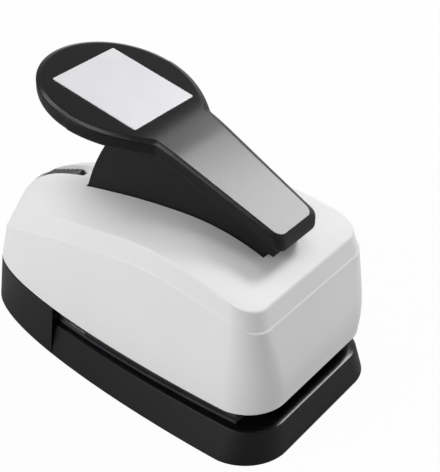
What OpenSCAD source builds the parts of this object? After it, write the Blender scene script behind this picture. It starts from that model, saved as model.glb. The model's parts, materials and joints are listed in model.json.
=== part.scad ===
// Lever paper punch that cuts a square. Millimetres.
// +X is the front, where paper goes in, +Z is up, origin on the floor under the middle of the base.

/* [Body plan] */
// Length of the base
body_len = 146; // [110:1:200]
// Width of the base at the front
body_w = 80; // [60:1:120]
// How soon the plan narrows towards the rear
taper = 1.4; // [1.1:0.05:2]
// Plan radius of the front corners at the foot
corner_r = 17; // [10:0.5:22]
// How much further foot, ridge and cover reach at the front
nose = 2.2; // [0:0.1:5]
// How far the foot spreads at the sides
foot_out = 1.2; // [0:0.1:3]

/* [Base] */
// Height of the tray's ridge
deck_z = 12; // [8:0.5:18]
// Height of the seam between base and cover
seam_z = 19.2; // [15:0.1:26]
// How far the ridge stands in from the foot
ridge_in = 3.8; // [1:0.1:6]
// Front face of the rear block
step_x = -26.5; // [-45:0.5:-10]
// Seat of the die plate
seat_z = 6; // [4:0.5:8]

/* [Cover] */
// How far the cover stands in from the base's foot
cover_in = 2.5; // [2:0.1:6]
// Wall thickness
wall = 2.4; // [1.6:0.1:3.5]
// Height of the cover's highest point
peak_z = 69.5; // [60:0.1:85]
// Where along the length the cover is highest
peak_x = 24; // [0:1:45]
// Fall of the top line towards the front
fall_front = 0.0045; // [0.001:0.0005:0.01]
// Fall of the top line towards the rear
fall_rear = 0.0014; // [0.001:0.0001:0.004]
// Fall of the shoulder line towards the rear
fall_edge = 0.003; // [0.001:0.0001:0.006]
// Height of the shoulder band
band_h = 7.5; // [3:0.1:10]

/* [Die set] */
// Side of the square that is cut
cut = 38; // [20:0.5:52]
// Centre of the die along the length
die_x = 24; // [10:0.5:35]
// Thickness of the die plate
die_t = 7; // [4:0.5:10]
// Paper slot between die plate and guide plate
slot_h = 1.6; // [1:0.1:3]
// Thickness of the guide plate
guide_t = 12; // [8:0.5:18]
// Sliding clearance of the punch on each side
slide_clr = 0.05; // [0.02:0.01:0.1]
// How far the plates stand in from the base's foot
plate_in = 7.2; // [6:0.1:12]
// Wire radius of a return spring
wire_r = 0.45; // [0.3:0.05:0.7]
// Mean radius of a return spring
coil_r = 2.5; // [1.8:0.1:3]
// Turns of a return spring
coils = 6.5; // [4:0.5:8]

/* [Lever] */
// Pivot position along the length
pivot_x = 48; // [35:0.5:56]
// Pivot height
pivot_z = 46; // [38:0.5:54]
// Lever travel in degrees
lever_deg = 15; // [8:0.5:18]
// Distance from pivot to press roller
roller_arm = 24; // [16:0.5:32]
// Radius of the round pad
pad_r = 28.2; // [18:0.1:36]
// Centre of the pad along the length
pad_x = -10.1; // [-30:0.1:5]
// Height of the pad's centre
pad_z = 103.6; // [90:0.1:115]
// Slope of the pad in degrees
pad_tilt = 15; // [5:0.5:25]
// Front end of the arm
arm_x = 63.5; // [55:0.1:68]
// Height of the arm's top at its front end
arm_end_z = 72.8; // [68:0.1:80]
// Half width of the arm at its front end
arm_w = 11.6; // [7:0.1:15]
// Growth of that half width per millimetre to the rear
arm_grow = 0.09; // [0:0.01:0.2]
// Thickness of the lever's top
top_t = 5.4; // [4:0.1:8]
// Half width of the lever body
body_hw = 9.2; // [7:0.1:12]
// Radius of the lever body's rear wall about the pivot
rear_r = 69.6; // [60:0.1:80]
// Wall of the lever body
lever_wall = 2.6; // [2:0.1:4]
// Length of the label
label_len = 36; // [20:0.5:40]
// Width of the label
label_w = 32; // [20:0.5:40]
// Label's distance in front of the pad's centre
label_fwd = 2.1; // [-4:0.1:4]

/* [Lock] */
// Distance of the lock's centre behind the lever's rear wall
lock_back = 16.9; // [14:0.1:20]
// Depth of the recess below the cover at that centre
lock_depth = 4; // [2:0.1:5]
// Slope of the lock's slide in degrees
lock_tilt = 17; // [8:0.5:25]
// Travel of the lock
lock_travel = 5.8; // [3:0.1:8]

/* [Hidden] */
$fn = 48;
run_clr = 0.05;
fit_clr = 0.02;
lift_clr = 0.3;

half_l = body_len / 2;
front_x = half_l + nose - 2;
half_w = body_w / 2;
die_top = seat_z + die_t;
guide_z = die_top + slot_h;
guide_top = guide_z + guide_t;
roll_r = 4.5;
roll_half = lever_deg / 2;
roll_x = pivot_x - roller_arm * cos(roll_half);
roll_z = pivot_z + roller_arm * sin(roll_half);
carrier_top = roll_z - roll_r - 0.15;
carrier_t = 4.46;
punch_top = carrier_top - carrier_t - fit_clr;
punch_z = guide_z + 1;
pin_r = 3;
rpin_r = 2;
plate_xa = -half_l + 31;
plate_xb = half_l - 12;
window_in = 10.5;
window_xa = plate_xa + 12;
window_xb = plate_xb - 3;
boss_r = 4.5;
cheek_half = 7.5;
cheek_t = 6;
cheek_y = body_hw + 3.4;
well_r = 3.6;
block_z = pivot_z + 11;
rear_x = pivot_x - rear_r;
lock_x = rear_x - lock_back;
arm_slope = (pad_z - tan(pad_tilt) * (17 - pad_x) - arm_end_z) / (arm_x - 17);
block_gap = 0.2;
steel = [0.45, 0.46, 0.48];
waist_blend = 14;
function both_sides(x, y) = [[x, y], [x, -y]];
bolt_at = concat(both_sides(plate_xa + 25, 15), both_sides(plate_xa + 7, 11));
base_screw_at = concat(both_sides(half_l - 27, rim_y(half_l - 27)), both_sides(-6, rim_y(-6)));
cover_rear_at = both_sides(-half_l + 21, 7.5);
cover_front_at = both_sides(half_l - 20, 21);
spring_y = cut / 2 + 4.6;
spring_dx = 7.5;
spring_at = concat(both_sides(die_x - spring_dx, spring_y), both_sides(die_x + spring_dx, spring_y));
carrier_screw_y = cut / 2 - 6;
spring_z0 = guide_top - 5.6;
spring_z1 = punch_top + fit_clr;
lever_screw_at = [4, 40];

// Smooth step, plan half width, and the height lines of cover and lever
function ss(t) = let(c = max(0, min(1, t))) c * c * (3 - 2 * c);
function hw(x, xr, xf, w) = w * sqrt(max(0, 1 - pow(max(0, 1 - (x - xr) / (xf - xr)), taper)));
function ztop(x) = peak_z - (x > peak_x ? fall_front : fall_rear) * pow(x - peak_x, 2);
function crown(x) = 3.2 + 2.1 * ss((30 - x) / 40) + 0.5 * ss((x - 35) / 30);
function zedge(x) = peak_z - (x > peak_x ? fall_front : fall_edge) * pow(x - peak_x, 2) - crown(x);
function rim_y(x) = hw(x, -half_l + window_in, half_l - window_in, half_w - window_in) - 1.6;
function zlev(x) = x < 8 ? pad_z - tan(pad_tilt) * (x - pad_x)
  : x > 26 ? arm_end_z + arm_slope * (arm_x - x)
  : pad_z - tan(pad_tilt) * (x - pad_x) - (arm_slope - tan(pad_tilt)) * pow(x - 8, 2) / 36;

// One side of a bullet plan: tip to step, step to corner, corner arc
nr = 12;
nf = 8;
na = 5;
function side(xr, xf, w, rc) = let(xc = xf - rc, yc = hw(xc, xr, xf, w) - rc) concat(
  [for (i = [1:nr]) let(x = xr + pow(i / nr, 1.8) * (step_x - xr)) [x, hw(x, xr, xf, w)]],
  [for (i = [1:nf]) let(x = step_x + (i / nf) * (xc - step_x)) [x, hw(x, xr, xf, w)]],
  [for (i = [1:na]) let(a = 90 - 90 * i / na) [xc + rc * cos(a), yc + rc * sin(a)]]);
m = nr + nf + na;

// A ring is its tip, its near side and its far side, both from tip to front
function ring(s, tip, zs) = concat([[tip, 0, zs[0]]],
  [for (i = [0:len(s) - 1]) [s[i][0], -s[i][1], zs[i + 1]]],
  [for (i = [0:len(s) - 1]) [s[i][0], s[i][1], zs[i + 1]]]);
function loop_of(n) = concat([0], [for (i = [1:n]) i], [for (i = [n:-1:1]) n + i]);
function band(a, b, n) = let(l = loop_of(n), c = len(l))
  [for (j = [0:c - 1]) let(p = l[j], q = l[(j + 1) % c]) each [[a + p, b + p, b + q], [a + p, b + q, a + q]]];
function lid(a, n, i0, i1) = concat(i0 == 0 ? [[a, a + n + 1, a + 1]] : [],
  [for (i = [max(1, i0):i1 - 1]) let(p = a + i, q = a + n + i) each [[p, q, q + 1], [p, q + 1, p + 1]]]);
function flip(f) = [for (t = f) [t[0], t[2], t[1]]];

// Stack of rings with flat strips for its two ends
module stack(rings, n) {
  step = 2 * n + 1;
  k = len(rings);
  polyhedron(points = [for (r = rings) each r],
    faces = concat(flip(lid(0, n, 0, n)), [for (i = [0:k - 2]) each band(i * step, (i + 1) * step, n)],
      lid((k - 1) * step, n, 0, n)), convexity = 8);
}

// Flat plan of the body, d inside the foot line, between two stations
module plan(d, xa, xb) {
  xr = -half_l + d;
  xf = half_l - d;
  x0 = max(xa, xr);
  p = [for (i = [0:16]) let(t = xa > xr ? i / 16 : pow(i / 16, 1.8), x = x0 + t * (xb - x0))
    [x, hw(x, xr, xf, half_w - d)]];
  far = [for (i = [16:-1:0]) if (p[i][1] > 0.01) [p[i][0], p[i][1]]];
  polygon(concat([for (q = p) [q[0], -q[1]]], far));
}

module side_extrude(w) rotate([90, 0, 0]) linear_extrude(height = 2 * w, center = true) children();
module along_y(r, y0, y1) translate([0, y0, 0]) rotate([-90, 0, 0]) cylinder(r = r, h = y1 - y0);
module in_lock() translate([lock_x, 0, lock_z]) rotate([0, -lock_tilt, 0]) children();
module box(a, b) translate(a) cube([b[0] - a[0], b[1] - a[1], b[2] - a[2]]);

// Base: foot ring, then a ridge in front of the step and a taller block behind it
module base_solid() {
  foot = side(-half_l, half_l + nose, half_w + foot_out, corner_r);
  rear_in = cover_in;
  rear_z = seam_z - 0.2;
  rear_s = side(-half_l + rear_in, front_x, half_w - rear_in, corner_r - rear_in);
  front_s = side(-half_l + ridge_in, front_x, half_w - ridge_in, corner_r - ridge_in);
  z0 = [for (i = [0:m]) 0];
  zr = [for (i = [0:m]) rear_z];
  zf = [for (i = [0:m]) deck_z];
  s1 = 2 * m + 1;
  s2 = 2 * s1;
  pts = concat(ring(foot, -half_l, z0), ring(rear_s, -half_l + rear_in, zr),
    ring(front_s, -half_l + ridge_in, zf));
  rear_wall = concat([for (i = [0:nr - 1]) each [[i, s1 + i, s1 + i + 1], [i, s1 + i + 1, i + 1]]],
    [[0, s1 + m + 1, s1], [0, m + 1, s1 + m + 1]],
    [for (i = [1:nr - 1]) each [[m + i, s1 + m + i + 1, s1 + m + i], [m + i, m + i + 1, s1 + m + i + 1]]]);
  front_wall = concat([for (i = [nr:m - 1]) each [[i, s2 + i, s2 + i + 1], [i, s2 + i + 1, i + 1]]],
    [[m, s2 + m, s2 + 2 * m], [m, s2 + 2 * m, 2 * m]],
    [for (i = [nr:m - 1]) each [[m + i, s2 + m + i + 1, s2 + m + i], [m + i, m + i + 1, s2 + m + i + 1]]]);
  c = nr;
  an = s1 + nr;
  af = s1 + m + nr;
  bn = s2 + nr;
  bf = s2 + m + nr;
  step_face = [[c, an, bn], [an, bf, bn], [an, af, bf], [af, m + nr, bf]];
  polyhedron(points = pts, faces = concat(flip(lid(0, m, 0, m)), rear_wall, front_wall, step_face,
    lid(s1, m, 0, nr), lid(s2, m, nr, m)), convexity = 8);
}

module base_tray() color([0.06, 0.06, 0.065]) difference() {
  union() {
    difference() {
      base_solid();
      translate([0, 0, seat_z - fit_clr]) linear_extrude(height = 30)
        plan(plate_in - 0.4, plate_xa - 0.4, plate_xb + 0.4);
      translate([0, 0, -1]) linear_extrude(height = seat_z + 2) plan(window_in, window_xa, window_xb);
      translate([0, 0, -1]) linear_extrude(height = seam_z - 2.2) plan(4.4, -half_l, plate_xa - 4);
    }
    for (p = base_screw_at) translate([p[0], p[1], 1]) cylinder(r = boss_r, h = seat_z - 1 - fit_clr);
    for (p = cover_rear_at) translate([p[0], p[1], 1]) cylinder(r = 4, h = seam_z - 2.4);
  }
  for (p = base_screw_at) translate([p[0], p[1], -1]) {
    cylinder(r = 3.1, h = 4.4);
    cylinder(r = 1.6, h = 12);
  }
  for (p = cover_rear_at) translate([p[0], p[1], -1]) {
    cylinder(r = 3.3, h = 5.6);
    cylinder(r = 1.7, h = 40);
  }
}

// Square hole that the punch runs in
module cut_hole(h) {
  c = cut / 2 + slide_clr;
  box([die_x - c, -c, 0], [die_x + c, c, h]);
}

module die_plate() color([0.2, 0.2, 0.21]) difference() {
  translate([0, 0, seat_z]) linear_extrude(height = die_t) plan(plate_in, plate_xa, plate_xb);
  cut_hole(40);
  for (p = bolt_at) translate([p[0], p[1], 0]) cylinder(r = 2 + run_clr, h = 40);
  for (p = base_screw_at) translate([p[0], p[1], 0]) cylinder(r = 1.5 + run_clr, h = 12);
  for (p = cover_front_at) translate([p[0], p[1], 0]) cylinder(r = well_r, h = 40);
}

module throat_spacer() color([0.5, 0.51, 0.53]) difference() {
  translate([0, 0, die_top + fit_clr]) linear_extrude(height = slot_h - 2 * fit_clr)
    plan(plate_in + 0.8, plate_xa + 0.6, plate_xa + 30);
  for (p = bolt_at) translate([p[0], p[1], 0]) cylinder(r = 2 + run_clr, h = 40);
}

module guide_plate() color([0.13, 0.13, 0.135]) difference() {
  union() {
    translate([0, 0, guide_z]) linear_extrude(height = guide_t) plan(plate_in, plate_xa, plate_xb);
    for (s = [-1, 1]) {
      y0 = s * cheek_y - cheek_t / 2;
      y1 = s * cheek_y + cheek_t / 2;
      box([pivot_x - cheek_half, y0, guide_top - 2], [pivot_x + cheek_half, y1, pivot_z]);
      translate([pivot_x, 0, pivot_z]) along_y(cheek_half, y0, y1);
    }
  }
  cut_hole(punch_top + 1);
  for (p = bolt_at) translate([p[0], p[1], 0]) cylinder(r = 2 + run_clr, h = 40);
  for (p = spring_at) translate([p[0], p[1], spring_z0]) cylinder(r = coil_r + wire_r + 0.35, h = 20);
  for (p = cover_front_at) translate([p[0], p[1], 0]) {
    cylinder(r = 3.4, h = guide_z + 2.6);
    cylinder(r = 1.6 + run_clr, h = 40);
  }
  translate([pivot_x, 0, pivot_z]) along_y(pin_r + fit_clr, -30, 30);
}

module frame_bolts() color(steel) for (p = bolt_at) translate([p[0], p[1], 0]) difference() {
  union() {
    translate([0, 0, seat_z + 0.5]) cylinder(r = 2, h = guide_top - seat_z);
    translate([0, 0, guide_top + fit_clr]) cylinder(r = 3.5, h = 3.6);
  }
  translate([0, 0, guide_top + 1.6]) cylinder(r = 1.7, h = 4, $fn = 6);
}

// Pan screw with a hexagon socket, head down at z0, tip at z1
module screw_up(r, head_r, head_h, z0, z1) difference() {
  union() {
    translate([0, 0, z0]) cylinder(r = head_r, h = head_h);
    translate([0, 0, z0 + head_h / 2]) cylinder(r = r, h = z1 - z0 - head_h / 2);
  }
  translate([0, 0, z0 - 1]) cylinder(r = head_r * 0.45, h = 1 + head_h * 0.55, $fn = 6);
}

module base_screws() color(steel) for (p = base_screw_at) translate([p[0], p[1], 0])
  screw_up(1.5, 2.8, 1.9, 1.45, 11.5);

module cover_screws() color(steel) {
  for (p = cover_rear_at) translate([p[0], p[1], 0]) screw_up(1.6, 3.1, 2.2, 2.35, 33);
  for (p = cover_front_at) translate([p[0], p[1], 0]) screw_up(1.6, 3.1, 2.2, guide_z + 0.35, 36);
}

module punch_block() color([0.62, 0.63, 0.65]) difference() {
  box([die_x - cut / 2, -cut / 2, punch_z], [die_x + cut / 2, cut / 2, punch_top]);
  sag = 1.2;
  hollow_r = (pow(cut / 2, 2) + sag * sag) / (2 * sag);
  translate([die_x, 0, punch_z + sag - hollow_r]) rotate([90, 0, 0])
    cylinder(r = hollow_r, h = cut + 4, center = true, $fn = 96);
  for (s = [-1, 1]) translate([die_x, s * carrier_screw_y, punch_top - 11])
    cylinder(r = 1.9 + run_clr, h = 20);
}

module punch_carrier() color([0.3, 0.3, 0.31]) difference() {
  z0 = carrier_top - carrier_t;
  union() {
    ear = [spring_dx + 4, spring_y + 3.6];
    mid = [pivot_x - cheek_half - 1 - die_x, carrier_screw_y + 4];
    for (h = [ear, mid]) box([die_x - h[0], -h[1], z0], [die_x + h[0], h[1], carrier_top]);
  }
  for (s = [-1, 1]) translate([die_x, s * carrier_screw_y, 0]) {
    cylinder(r = 1.9 + run_clr, h = 80);
    translate([0, 0, carrier_top - 2.6]) cylinder(r = 3.4, h = 20);
  }
}

module carrier_screws() color(steel) for (s = [-1, 1]) translate([die_x, s * carrier_screw_y, 0])
  rotate([180, 0, 0]) screw_up(1.9, 3.2, 2.2, -carrier_top + 0.35, -(punch_top - 10.5));

// Coil spring as one tube, eight rings to a turn
function coil_pt(t, z0, z1) = let(a = 360 * coils * t) [coil_r * cos(a), coil_r * sin(a), z0 + (z1 - z0) * t];
module coil(z0, z1) {
  n = ceil(coils * 8);
  q = 6;
  lead = (z1 - z0) / coils;
  ang = atan(lead / (2 * PI * coil_r));
  pts = [for (i = [0:n], j = [0:q - 1])
    let(t = i / n, a = 360 * coils * t, b = 360 * j / q)
    coil_pt(t, z0, z1) + wire_r * cos(b) * [cos(a), sin(a), 0]
      + wire_r * sin(b) * [sin(ang) * sin(a), -sin(ang) * cos(a), cos(ang)]];
  faces = concat([[for (j = [0:q - 1]) j]],
    [for (i = [0:n - 1], j = [0:q - 1]) let(k = (j + 1) % q)
      each [[i * q + j, (i + 1) * q + j, (i + 1) * q + k], [i * q + j, (i + 1) * q + k, i * q + k]]],
    [[for (j = [q - 1:-1:0]) n * q + j]]);
  polyhedron(points = pts, faces = faces, convexity = 10);
}
spring_gap = (spring_z1 - spring_z0 - 2 * wire_r) / coils - 2 * wire_r;
echo(spring_self_gap_mm = spring_gap);
module return_spring(i) color([0.7, 0.71, 0.73]) translate([spring_at[i][0], spring_at[i][1], 0])
  coil(spring_z0 + wire_r + 0.03, spring_z1 - wire_r - 0.03);

// Lever body: side profile about the pivot, hollow from below
function rim_z(x) = zlev(x) - top_t - block_gap;
// Angle at which an arc of radius r about the pivot meets the pad's underside, d below it
function under_z(d) = pad_z + tan(pad_tilt) * (pad_x - pivot_x) - top_t - block_gap - d - pivot_z;
function arc_end(r, d) = 180 - pad_tilt - asin(under_z(d) * cos(pad_tilt) / r);
function arc_pts(r, a0, a1, n) = [for (i = [0:n]) let(a = a0 + (a1 - a0) * i / n)
  [pivot_x + r * cos(a), pivot_z + r * sin(a)]];
module lever_body() color([0.05, 0.05, 0.055]) difference() {
  hub_r = 6.4;
  roll_hub_r = 3.7;
  union() {
    side_extrude(body_hw) polygon(concat(
      arc_pts(rear_r, 180 - asin((block_z - pivot_z) / rear_r), arc_end(rear_r, 0) + 0.2, 10),
      [for (x = [8, 14, 20, 26, arm_x - 2.1]) [x, rim_z(x)]],
      [[pivot_x + 10.9, 64], [pivot_x + 7.4, 64.7], [pivot_x + 7.4, block_z],
        [pivot_x + hub_r - 0.1, pivot_z], [pivot_x - hub_r + 0.1, pivot_z],
        [pivot_x - 6.8, block_z], [roll_x + 4, block_z],
        [roll_x + roll_hub_r, roll_z], [roll_x - roll_hub_r, roll_z], [roll_x - 4, block_z]]));
    translate([pivot_x, 0, pivot_z]) along_y(hub_r, -body_hw, body_hw);
    translate([roll_x, 0, roll_z]) along_y(roll_hub_r, -body_hw, body_hw);
  }
  inner_r = rear_r - lever_wall;
  inner_xf = pivot_x + 4.8;
  side_extrude(body_hw - lever_wall) polygon(concat([[pivot_x - inner_r, 30]],
    arc_pts(inner_r, 178, arc_end(inner_r, lever_wall), 8),
    [for (x = [8, 14, 20, 26, inner_xf]) [x, rim_z(x) - lever_wall]], [[inner_xf, 30]]));
  translate([pivot_x, 0, pivot_z]) along_y(pin_r + run_clr, -20, 20);
  translate([roll_x, 0, roll_z]) along_y(rpin_r + fit_clr, -20, 20);
  box([rear_x - 3.4, -notch_hw, block_z - 7], [rear_x + 7.6, notch_hw, tongue_z + 0.83]);
  translate([pivot_x, 0, pivot_z]) rotate([0, lever_deg, 0]) translate([-pivot_x, 0, -pivot_z])
    box([rear_x - 2.4, -notch_hw, tongue_z - 4.87], [rear_x + 6.6, notch_hw, tongue_z - 1.17]);
  for (x = lever_screw_at) at_lever_screw(x) translate([0, 0, -8]) cylinder(r = 1.4 + run_clr, h = 16);
}

function lever_tilt(x) = x < 8 ? pad_tilt : atan(arm_slope);
module at_lever_screw(x) translate([x, 0, zlev(x) - top_t - block_gap / 2])
  rotate([0, lever_tilt(x), 0]) children();
module lever_screws() color(steel) for (x = lever_screw_at) at_lever_screw(x)
  screw_up(1.4, 2.6, 1.8, -lever_wall - 1.95, 3.2);

// Lever top: rounded rim round a pad, a waist and a tapering arm
function circ(x, d) = let(q = (x - pad_x) / cos(pad_tilt), r = pad_r - d)
  abs(q) < r ? sqrt(r * r - q * q) : 0;
function smax(a, b, k) = max(a, b) + pow(max(k - abs(a - b), 0) / k, 2) * k / 4;
function lev_w(x, d) = smax(circ(x, d), arm_w + arm_grow * (arm_x - x) - d, waist_blend);
l1 = 10;
l2 = 7;
l3 = 6;
l4 = 4;
ln = l1 + l2 + l3 + l4;
function lev_side(d) = let(rc = 3.4, xf = arm_x - 0.6 * d, xc = xf - rc, yc = lev_w(xc, d) - rc) concat(
  [for (i = [1:l1]) let(a = 90 * i / l1)
    [pad_x - (pad_r - d) * cos(pad_tilt) * cos(a), (pad_r - d) * sin(a)]],
  [for (i = [1:l2]) let(x = pad_x + (20 - pad_x) * i / l2) [x, lev_w(x, d)]],
  [for (i = [1:l3]) let(x = 20 + (xc - 20) * i / l3) [x, lev_w(x, d)]],
  [for (i = [1:l4]) let(a = 90 - 90 * i / l4) [xc + rc * cos(a), yc + rc * sin(a)]]);
function lev_ring(d, dz) = let(s = lev_side(d), tip = pad_x - (pad_r - d) * cos(pad_tilt))
  ring(s, tip, concat([zlev(tip) - dz], [for (p = s) zlev(p[0]) - dz]));
module lever_top() color([0.05, 0.05, 0.055]) difference() {
  rim = [[3.2, top_t], [0.8, 4.4], [0, 3.2], [0, 1.7], [0.6, 0.5], [2, 0]];
  stack([for (r = rim) lev_ring(r[0], r[1])], ln);
  for (x = lever_screw_at) at_lever_screw(x) translate([0, 0, -2]) cylinder(r = 1.4 + run_clr, h = 5.5);
}

module shape_label() color([0.82, 0.82, 0.84]) translate([pad_x, 0, pad_z]) rotate([0, pad_tilt, 0])
  translate([label_fwd - label_len / 2, -label_w / 2, 0.03]) cube([label_len, label_w, 0.5]);

module pivot_pin() color([0.6, 0.61, 0.63]) translate([pivot_x, 0, pivot_z]) {
  along_y(pin_r, -15.9, 15.9);
  along_y(2.3, -17.5, 17.5);
  for (s = [-1, 1]) along_y(pin_r, s * 17.2 - 0.3, s * 17.2 + 0.3);
}

module pivot_clips() color([0.35, 0.35, 0.36])
  for (s = [-1, 1]) translate([pivot_x, 0, pivot_z]) difference() {
  along_y(4.6, s * 16.4 - 0.4, s * 16.4 + 0.4);
  along_y(2.3 + fit_clr, s * 16.4 - 2, s * 16.4 + 2);
  box([-1.6, s * 16.4 - 2, -8], [1.6, s * 16.4 + 2, 0]);
}

module press_roller() color([0.66, 0.67, 0.69]) translate([roll_x, 0, roll_z]) difference() {
  along_y(roll_r, -6.2, 6.2);
  along_y(rpin_r + run_clr, -10, 10);
}

module roller_pin() color([0.6, 0.61, 0.63]) translate([roll_x, 0, roll_z])
  along_y(rpin_r, -body_hw + 0.1, body_hw - 0.1);

// Cover: wall, shoulder band, then the crowned top as shrinking rings
function cov_ring(t, dr, dw, df, dz, lift = 0) = let(xr = -half_l + cover_in + dr + t, xf = front_x - df - t,
  w = half_w - cover_in - dw - t, s = side(xr, xf, w, corner_r - 5 - cover_in - t * 0.6 - dw * 0.3))
  ring(s, xr, concat([zedge(xr) - dz], [for (p = s) zedge(p[0]) - dz + lift * ss((p[0] - 35) / 30)]));
function cov_foot(t, z) = let(d = cover_in + t,
  s = side(-half_l + d, front_x - t, half_w - d, corner_r - cover_in - t * 0.6))
  ring(s, -half_l + d, [for (i = [0:m]) z]);
belly_z = seam_z + 11;
belly_out = 0.9;
function cov_belly(t) = let(d = cover_in + t, xr = -half_l + d + 3.3,
  s = side(xr, front_x - t + belly_out, half_w - d + belly_out, corner_r - cover_in - t * 0.6))
  ring(s, xr, [for (i = [0:m]) belly_z]);
mid_x = 5;
crown_in = 10.5;
crown_pow = 6;
side_pow = 3.5;
band_lift = 1.4;
function zmid(x) = let(k = (mid_x - x) / (mid_x + half_l - cover_in - crown_in))
  ztop(x) - (ztop(x) - zedge(x)) * pow(k, crown_pow);
lock_z = zmid(lock_x) - lock_depth;
tongue_z = lock_z + lock_back * tan(lock_tilt);
tongue_hw = 4;
button_hl = 8.8;
stem_hl = 3.5;
lock_end = button_hl + lock_travel + 0.4;
notch_hw = tongue_hw + 0.6;
function top_pow(x) = side_pow + (crown_pow - side_pow) * ss((-20 - x) / 35);
function cov_top(r, k, t) = [for (p = r) let(x = mid_x + k * (p[0] - mid_x))
  [x, k * p[1], ztop(x) - (ztop(x) - zedge(x)) * pow(k, top_pow(p[0])) - t]];
module cover_form(t, z0) {
  r2 = cov_ring(t, crown_in, 2.6, 5.2, t);
  stack([cov_foot(t, z0), cov_belly(t), cov_ring(t, 4, 0.8, 3.1, band_h + t * 0.3, band_lift),
    cov_ring(t, 4.4, 1.25, 3.55, band_h - 0.3 + t * 0.3, band_lift), r2,
    cov_top(r2, 0.93, t), cov_top(r2, 0.82, t), cov_top(r2, 0.6, t)], m);
}

module top_cover() color([0.86, 0.86, 0.85]) difference() {
  union() {
    difference() {
      cover_form(0, seam_z);
      cover_form(wall, seam_z - 2);
    }
    intersection() {
      union() {
        for (p = cover_rear_at) translate([p[0], p[1], seam_z]) cylinder(r = well_r, h = peak_z);
        for (p = cover_front_at) translate([p[0], p[1], guide_top + 0.1]) cylinder(r = well_r, h = peak_z);
      }
      cover_form(wall / 2, seam_z - 2);
    }
    intersection() {
      in_lock() box([-12, -7, -1.8], [lock_end + 2.2, 7, lock_depth]);
      cover_form(wall / 2, seam_z - 2);
    }
  }
  box([rear_x + 1.2, -body_hw - 0.8, block_z - 7], [pivot_x + 7.8, body_hw + 0.8, peak_z + 20]);
  in_lock() box([-10.5, -3.9, 0], [lock_end, 3.9, 8]);
  in_lock() box([-4, -1.9, -6], [stem_hl + lock_travel + 0.6, 1.9, 6]);
  for (p = cover_rear_at) translate([p[0], p[1], 0]) cylinder(r = 1.6 + run_clr, h = 34);
  for (p = cover_front_at) translate([p[0], p[1], 0]) cylinder(r = 1.6 + run_clr, h = 37);
}

module lock_button() color([0.06, 0.06, 0.065]) in_lock() difference() {
  union() {
    side_extrude(3.3) polygon([[-button_hl, lift_clr], [button_hl, lift_clr], [7.8, 2.6], [-7.2, 2.6]]);
    box([-stem_hl, -1.6, -2.1], [stem_hl, 1.6, 1]);
  }
  translate([0, 0, -4]) cylinder(r = 1 + run_clr, h = 5.4);
  for (x = [-5, -2, 1, 4]) box([x, -6, 2.2], [x + 1.2, 6, 4]);
}

module lock_tongue() color([0.3, 0.3, 0.31]) in_lock() difference() {
  box([-4.4, -tongue_hw, -4.65], [lock_back - 2.7, tongue_hw, -2.13]);
  translate([0, 0, -8]) cylinder(r = 1 + run_clr, h = 8);
}

module lock_screw() color(steel) in_lock() screw_up(1, 2, 1.2, -5.88, 1);

// The nose lengthens the front alone, so all is set back by half of it to keep the origin in the middle
module placed() translate([-nose / 2, 0, 0]) children();
placed() base_tray();
placed() die_plate();
placed() throat_spacer();
placed() guide_plate();
placed() frame_bolts();
placed() base_screws();
placed() punch_block();
placed() punch_carrier();
placed() carrier_screws();
placed() return_spring(0);  // return_spring_1
placed() return_spring(1);  // return_spring_2
placed() return_spring(2);  // return_spring_3
placed() return_spring(3);  // return_spring_4
placed() lever_body();
placed() lever_top();
placed() shape_label();
placed() lever_screws();
placed() pivot_pin();
placed() pivot_clips();
placed() press_roller();
placed() roller_pin();
placed() top_cover();
placed() cover_screws();
placed() lock_button();
placed() lock_tongue();
placed() lock_screw();
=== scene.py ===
import json
import math

import bmesh
import bpy
import numpy as np
from mathutils import Matrix, Vector


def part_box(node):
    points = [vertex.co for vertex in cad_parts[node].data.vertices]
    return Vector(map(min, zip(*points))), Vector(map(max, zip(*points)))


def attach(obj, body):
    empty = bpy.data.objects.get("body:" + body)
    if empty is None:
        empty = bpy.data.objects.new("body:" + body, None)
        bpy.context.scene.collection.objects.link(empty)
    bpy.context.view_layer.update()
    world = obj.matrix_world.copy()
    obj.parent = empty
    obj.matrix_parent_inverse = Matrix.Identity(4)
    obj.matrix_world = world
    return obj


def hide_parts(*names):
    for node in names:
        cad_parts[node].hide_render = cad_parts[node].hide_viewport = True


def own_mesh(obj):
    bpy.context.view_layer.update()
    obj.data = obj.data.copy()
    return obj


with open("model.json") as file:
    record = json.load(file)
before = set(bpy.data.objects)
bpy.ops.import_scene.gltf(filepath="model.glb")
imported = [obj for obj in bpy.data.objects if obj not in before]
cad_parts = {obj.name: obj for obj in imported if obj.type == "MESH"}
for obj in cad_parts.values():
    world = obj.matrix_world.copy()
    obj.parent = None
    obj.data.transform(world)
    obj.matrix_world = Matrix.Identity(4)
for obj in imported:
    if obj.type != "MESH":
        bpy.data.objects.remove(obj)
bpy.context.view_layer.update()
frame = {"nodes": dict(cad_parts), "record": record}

MM = 0.001
nodes = frame["nodes"]

# Sizes in millimetres, the same as in the part's source
HALF_L = 73.0
HALF_W = 40.0
TAPER = 1.4
CORNER = 17.0
NOSE = 2.2
FRONT_X = HALF_L + NOSE - 2
FOOT_OUT = 1.2
SET_BACK = NOSE / 2
DECK_Z = 12.0
SEAM_Z = 19.2
RIDGE_IN = 3.8
STEP_X = -26.5
SEAT_Z = 6.0
COVER_IN = 2.5
WALL = 2.4
PEAK_Z = 69.5
PEAK_X = 24.0
FALL_FRONT = 0.0045
FALL_REAR = 0.0014
FALL_EDGE = 0.003
CROWN_DROP = 3.2
CROWN_REAR = 2.1
CROWN_FRONT = 0.5
BAND_H = 7.5
BAND_LIFT = 1.4
STEP_H = 0.3
MID_X = 5.0
CROWN_IN = 10.5
CROWN_POW = 6
SIDE_POW = 3.5
BELLY_Z = SEAM_Z + 11
BELLY_OUT = 0.9
BELLY_BACK = 3.3
PLATE_IN = 7.2
PLATE_XA = -HALF_L + 31
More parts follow.
